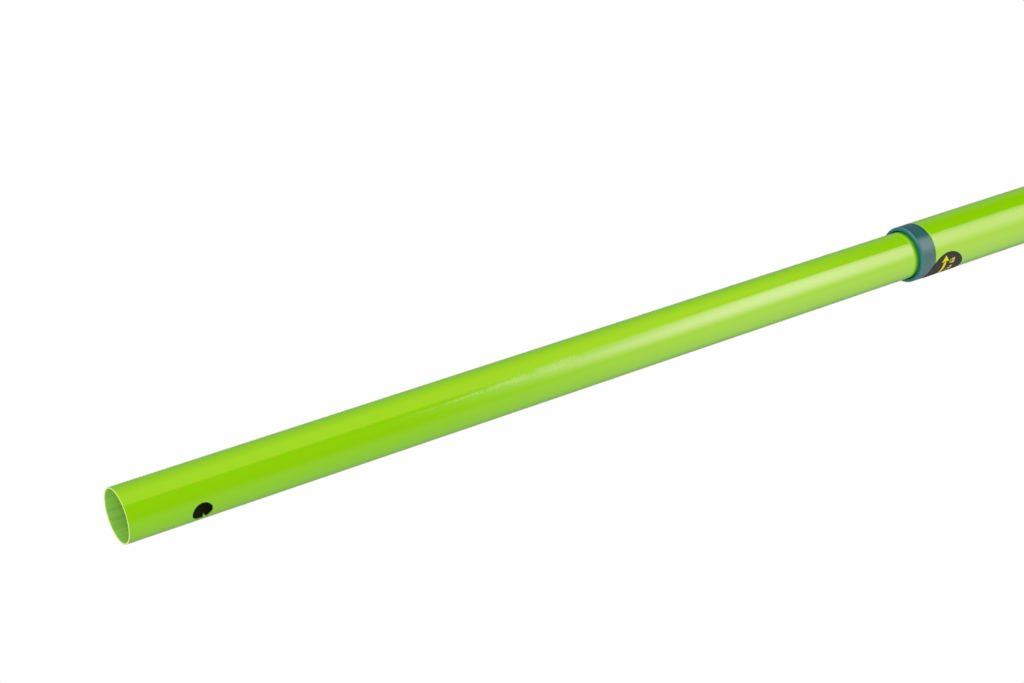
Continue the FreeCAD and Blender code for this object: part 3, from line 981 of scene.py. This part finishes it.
@dataclass
class HandGrip:
    """The ringed rubber grip with a bead at each end."""

    shaft: float = 12.5 * MM
    outside: float = 15.3 * MM
    groove: float = 0.8 * MM
    groove_edge: float = 0.30
    groove_floor: float = 0.42
    bead: float = 7 * MM
    rings: int = 13
    bead_rounding: float = 1.3 * MM
    foot_rounding: float = 0.5 * MM
    ring_rounding: float = 0.45 * MM
    steps: int = 128

    def build(self) -> bpy.types.Object:
        """Builds and dresses the grip.

        Returns:
            The piece.
        """
        low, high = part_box("hand_grip")
        start, end = low.z + self.bead, high.z - self.bead
        pitch = (end - start) / self.rings
        core = self.outside - self.groove
        outline = [(self.shaft, low.z), (high.x, low.z), (high.x, start), (self.outside, start)]
        corners = []
        for ring in range(self.rings):
            foot, top = start + pitch * ring, start + pitch * (ring + 1)
            edges = [(self.outside, foot + pitch * self.groove_edge), (self.outside, top - pitch * self.groove_edge)]
            floor = [(core, foot + pitch * self.groove_floor), (core, top - pitch * self.groove_floor)]
            corners += edges
            outline += [edges[0], *floor, edges[1]]
        outline += [(self.outside, end), (high.x, end), (high.x, high.z), (self.shaft, high.z)]
        mesh = lathe(outline, self.steps)
        bevel_rims(mesh, [(high.x, low.z), (high.x, high.z)], self.bead_rounding, 5)
        bevel_rims(mesh, [(high.x, start), (high.x, end)], self.foot_rounding, 3)
        bevel_rims(mesh, corners, self.ring_rounding, 3)
        rubber = Rubber(core=core, raised=self.outside)
        return settle(to_object(mesh, "grip"), Body.HANDLE, "hand_grip", rubber.make("grip_rubber"))


@dataclass
class EndCap:
    """The moulded cap: a plug in the thick tube, and a flat tab with the hanging hole."""

    plug: float = 11.8 * MM
    plug_taper: Span = (0.6 * MM, 1.5 * MM)
    cup: float = 9.5 * MM
    cup_floor: float = 4 * MM
    below: float = 38 * MM
    shoulder: float = 29 * MM
    neck: float = 20 * MM
    tab: float = 4 * MM
    hang: float = 12.5 * MM
    hang_radius: float = 5 * MM
    clear: float = 20 * MM
    rounding: float = 0.6 * MM
    rounded_above: float = 38.0
    sharp: float = 30.0
    steps: int = 128

    def build(self) -> bpy.types.Object:
        """Builds and dresses the cap.

        Returns:
            The piece.
        """
        low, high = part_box("end_cap")
        reach = high.x
        taper_in, taper_down = self.plug_taper
        outline = [(0, low.z), (reach, low.z), (reach, self.below), (self.plug, self.below)]
        outline += [(self.plug, high.z - taper_down), (self.plug - taper_in, high.z), (self.cup, high.z)]
        outline += [(self.cup, self.below + self.cup_floor), (0, self.below + self.cup_floor)]
        made = to_object(lathe(outline, self.steps), "cap")
        for side in (-1, 1):
            made = joined(made, self.flank(side, reach))
        made = joined(made, self.envelope(reach, high.z), Join.COMMON)
        hole = bar_along(Vector((0, 1, 0)), Vector((0, 0, self.hang)), self.hang_radius, self.clear * 2)
        made = joined(made, to_object(hole, "hanging_hole"))
        soft = made.modifiers.new("soft_edges", "BEVEL")
        soft.width = self.rounding
        soft.segments = 3
        soft.limit_method = "ANGLE"
        soft.angle_limit = math.radians(self.rounded_above)
        soft.harden_normals = True
        made.data.set_sharp_from_angle(angle=math.radians(self.sharp))
        teal = Moulding((0.005, 0.082, 0.112, 1.0), (0.008, 0.095, 0.122, 1.0), shine=0.36)
        return settle(made, Body.HANDLE, "end_cap", teal.make("cap_teal"))

    def envelope(self, reach: float, top: float) -> bpy.types.Object:
        """Makes the solid that rounds the tab's end: a bar across the hole, with a block above it.

        Args:
            reach: The cap's radius.
            top: The height of the cap's upper end.

        Returns:
            The solid.
        """
        rounded = bar_along(Vector((0, 1, 0)), Vector((0, 0, self.hang)), reach, self.clear * 2, self.steps)
        corner = Vector((reach * 1.2, self.clear * 0.9, top + MM))
        upper = block_between(Vector((-corner.x, -corner.y, self.hang)), corner)
        return joined(to_object(rounded, "envelope"), to_object(upper, "upper"), Join.FUSE)

    def flank(self, side: int, reach: float) -> bpy.types.Object:
        """Makes the wedge that is cut away beside the tab.

        Args:
            side: -1 for the front and 1 for the back.
            reach: The cap's radius.

        Returns:
            The wedge.
        """
        low = Vector((-self.clear, self.tab, -MM))
        mesh = block_between(low, Vector((self.clear, reach + MM, self.shoulder)))
        rise = (self.shoulder - self.neck) / (reach - self.tab)
        for vert in mesh.verts:
            if vert.co.z > 0:
                vert.co.z = self.neck + (vert.co.y - self.tab) * rise
        if side < 0:
            bmesh.ops.rotate(mesh, matrix=Matrix.Rotation(math.pi, 3, "Z"), verts=mesh.verts)
        return to_object(mesh, "flank")


@dataclass
class LockWorks:
    """The small parts that keep their CAD shapes: the lock inside the tubes, and the screws and pins."""

    white: Colour = grey(1.0)
    zinc_nodes: tuple[str, ...] = ("cap_screw", "plug_pins", "lock_washer", "lock_screw")

    def build(self) -> None:
        """Dresses each part."""
        plug = Moulding(grey(0.03), grey(0.04), lit=grey(0.055), glint=self.white)
        ring = Moulding((0.6, 0.58, 0.52, 1), (0.55, 0.53, 0.46, 1), lit=(0.68, 0.66, 0.6, 1), glint=self.white)
        cam = Moulding((0.55, 0.53, 0.46, 1), (0.5, 0.48, 0.4, 1), lit=(0.62, 0.6, 0.53, 1), glint=self.white)
        dress("lock_plug", plug.make("plug_nylon"))
        dress("guide_ring", ring.make("ring_acetal"))
        dress("cam_ring", cam.make("cam_nylon"))
        for node in self.zinc_nodes:
            dress(node, Zinc().make(f"{node}_zinc"))


@dataclass
class Studio:
    """The tone curve, the floor, the surround and the camera.

    The surround's lights are spans of the turn about the pole, in degrees from the front towards -X, and of the
    downward slope, from 0 for level to 1 for straight down. A span that falls gives a light that fades that way.
    """

    backdrop: float = 1.02
    curve: tuple[Point, ...] = ((0.3, 0.3), (0.6, 0.6), (0.8, 0.745), (0.93, 0.83), (0.975, 0.9))
    key_top: Span = (0.445, 0.585)
    key_lean: float = 0.000045
    key_bottom: Span = (0.9, 0.76)
    key_edge: Span = (-46.0, -42.0)
    key_shade: Span = (-42.0, -22.0)
    peak_end: Span = (38.0, -6.0)
    peak_bottom: Span = (0.69, 0.61)
    peak_level: float = 6.4
    peak_tint: tuple[float, float, float] = (1, 0.74, 1)
    broad_end: Span = (150.0, 10.0)
    broad_level: float = 3.2
    broad_tint: tuple[float, float, float] = (1, 0.78, 0.45)
    side_edge: Span = (-26.0, -31.0)
    side_end: Span = (-125.0, -60.0)
    side_bottom: Span = (0.66, 0.60)
    side_level: float = 2.3
    side_tint: tuple[float, float, float] = (1, 0.9, 0.2)
    fill_edge: Span = (22.0, 62.0)
    fill_end: Span = (150.0, 100.0)
    fill_behind: Span = (-80.0, -120.0)
    fill_tint: tuple[float, float, float] = (0.86, 1, 0.95)
    even_lean: tuple[float, float, float] = (0.16, 0.62, 1.2)
    even_least: float = 0.05
    even_level: float = 0.69
    floor_half: float = 60.0
    sensor: float = 36.0
    focal_length: float = 68.41
    seat: tuple[float, float, float] = (0, -0.66291, 0.20411)
    right: tuple[float, float, float] = (-0.31526, -0.46271, -0.82856)
    back: tuple[float, float, float] = (-0.02109, -0.86945, 0.49357)

    def build(self) -> None:
        """Sets the studio up."""
        self.film()
        self.floor()
        self.surround()
        self.camera()
        LOG.info("studio ready")

    def film(self) -> None:
        """Sets the tone curve: straight to the mid tones, then a soft shoulder."""
        view = bpy.context.scene.view_settings
        view.view_transform = "Standard"
        view.use_curve_mapping = True
        combined = view.curve_mapping.curves[3]
        for place in self.curve:
            combined.points.new(*place)
        for point in combined.points:
            point.handle_type = "VECTOR"
        view.curve_mapping.update()

    def floor(self) -> None:
        """Makes the plain white floor."""
        mesh = bmesh.new()
        bmesh.ops.create_grid(mesh, x_segments=1, y_segments=1, size=self.floor_half)
        made = to_object(mesh, "floor")
        material = bpy.data.materials.new("floor_white")
        material.use_nodes = True
        sheet = Sheet(material.node_tree)
        glow = sheet.node("ShaderNodeEmission", inputs={"Color": grey(1.0), "Strength": self.backdrop})
        sheet.node("ShaderNodeOutputMaterial", inputs={"Surface": glow.outputs[0]})
        made.data.materials.append(material)
        made.visible_diffuse = False
        made.visible_glossy = False
        made.visible_shadow = False

    def surround(self) -> None:
        """Makes the soft light: an even fill, and the soft boxes that the gloss picks up."""
        world = bpy.data.worlds.new("surround")
        bpy.context.scene.world = world
        world.use_nodes = True
        # Sampling the surround as a lamp would mix the even fill and the soft boxes.
        world.cycles.sampling_method = "NONE"
        sheet = Sheet(world.node_tree)
        ray = sheet.node("ShaderNodeTexCoord").outputs["Generated"]
        parts = sheet.node("ShaderNodeSeparateXYZ", inputs={0: ray})
        x, y, z = (Signal(sheet, parts.outputs[number]) for number in range(3))
        aside, ahead, above = self.even_lean
        even = (x * aside - y * ahead + z * above + 1.0).most(self.even_least) * self.even_level
        rays = sheet.node("ShaderNodeLightPath")
        matte = Signal(sheet, rays.outputs[Ray.DIFFUSE.value])
        seen = Signal(sheet, rays.outputs[Ray.CAMERA.value])
        light = sheet.mixed(matte, self.soft_boxes(sheet, x, y, z), self.tinted(sheet, even, (1, 1, 1)))
        shown = sheet.mixed(seen, light, grey(self.backdrop))
        sky = sheet.node("ShaderNodeBackground", inputs={"Color": shown, "Strength": 1.0})
        sheet.node("ShaderNodeOutputWorld", inputs={"Surface": sky.outputs[0]})

    def soft_boxes(self, sheet: Sheet, x: Signal, y: Signal, z: Signal) -> bpy.types.NodeSocket:
        """Places the soft boxes: a key in front with a bright core, one at the side, and a fill.

        Args:
            sheet: The surround's nodes.
            x: The ray's X.
            y: The ray's Y.
            z: The ray's Z.

        Returns:
            Their light as a colour.
        """
        turn = angle_about_pole(x, y) * (180 / math.pi)
        down = z * -1
        lean = turn.least(0.0) * turn.least(0.0) * self.key_lean
        key = (down - lean).ramp(*self.key_top) * down.ramp(*self.key_bottom)
        key = key * turn.ramp(*self.key_edge) * (turn.ramp(*self.key_shade) * 0.45 + 0.55)
        peak = key * turn.ramp(*self.peak_end) * (down.ramp(*self.peak_bottom) * 0.6 + 0.4) * self.peak_level
        broad = key * turn.ramp(*self.broad_end) * self.broad_level
        side = turn.ramp(*self.side_edge) * turn.ramp(*self.side_end) * down.ramp(*self.side_bottom)
        fill = turn.ramp(*self.fill_edge) * (turn.ramp(*self.fill_end) * 0.42 + 0.32)
        fill = fill + turn.ramp(*self.fill_behind) * 0.3
        light = self.tinted(sheet, peak, self.peak_tint)
        others = ((broad, self.broad_tint), (side * self.side_level, self.side_tint), (fill, self.fill_tint))
        for level, tint in others:
            light = sheet.mixed(1.0, light, self.tinted(sheet, level, tint), "ADD")
        return light

    def tinted(self, sheet: Sheet, level: Signal, tint: Sequence[float]) -> bpy.types.NodeSocket:
        """Tints a light level."""
        parts = {number: level * share for number, share in enumerate(tint)}
        return sheet.node("ShaderNodeCombineColor", inputs=parts).outputs[0]

    def camera(self) -> None:
        """Places the camera above the mouth, looking down along the pole."""
        lens = bpy.data.cameras.new("camera")
        lens.sensor_width = self.sensor
        lens.lens = self.focal_length
        lens.clip_start = 0.01
        lens.clip_end = 200.0
        mouth = Vector((0, 0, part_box("inner_tube")[1].z))
        right, back = Vector(self.right), Vector(self.back)
        turned = Matrix((right, back.cross(right), back)).transposed().to_4x4()
        camera = bpy.data.objects.new("camera", lens)
        camera.matrix_world = Matrix.Translation(mouth + Vector(self.seat)) @ turned
        bpy.context.scene.collection.objects.link(camera)
        bpy.context.scene.camera = camera


def main() -> None:
    """Builds every piece in order."""
    logging.basicConfig(level=logging.INFO)
    for assembly in (Studio, ThinTube, ThickTube, GuideCollar, LockLabel, HandGrip, EndCap, LockWorks):
        assembly().build()


if __name__ == "__main__":
    main()
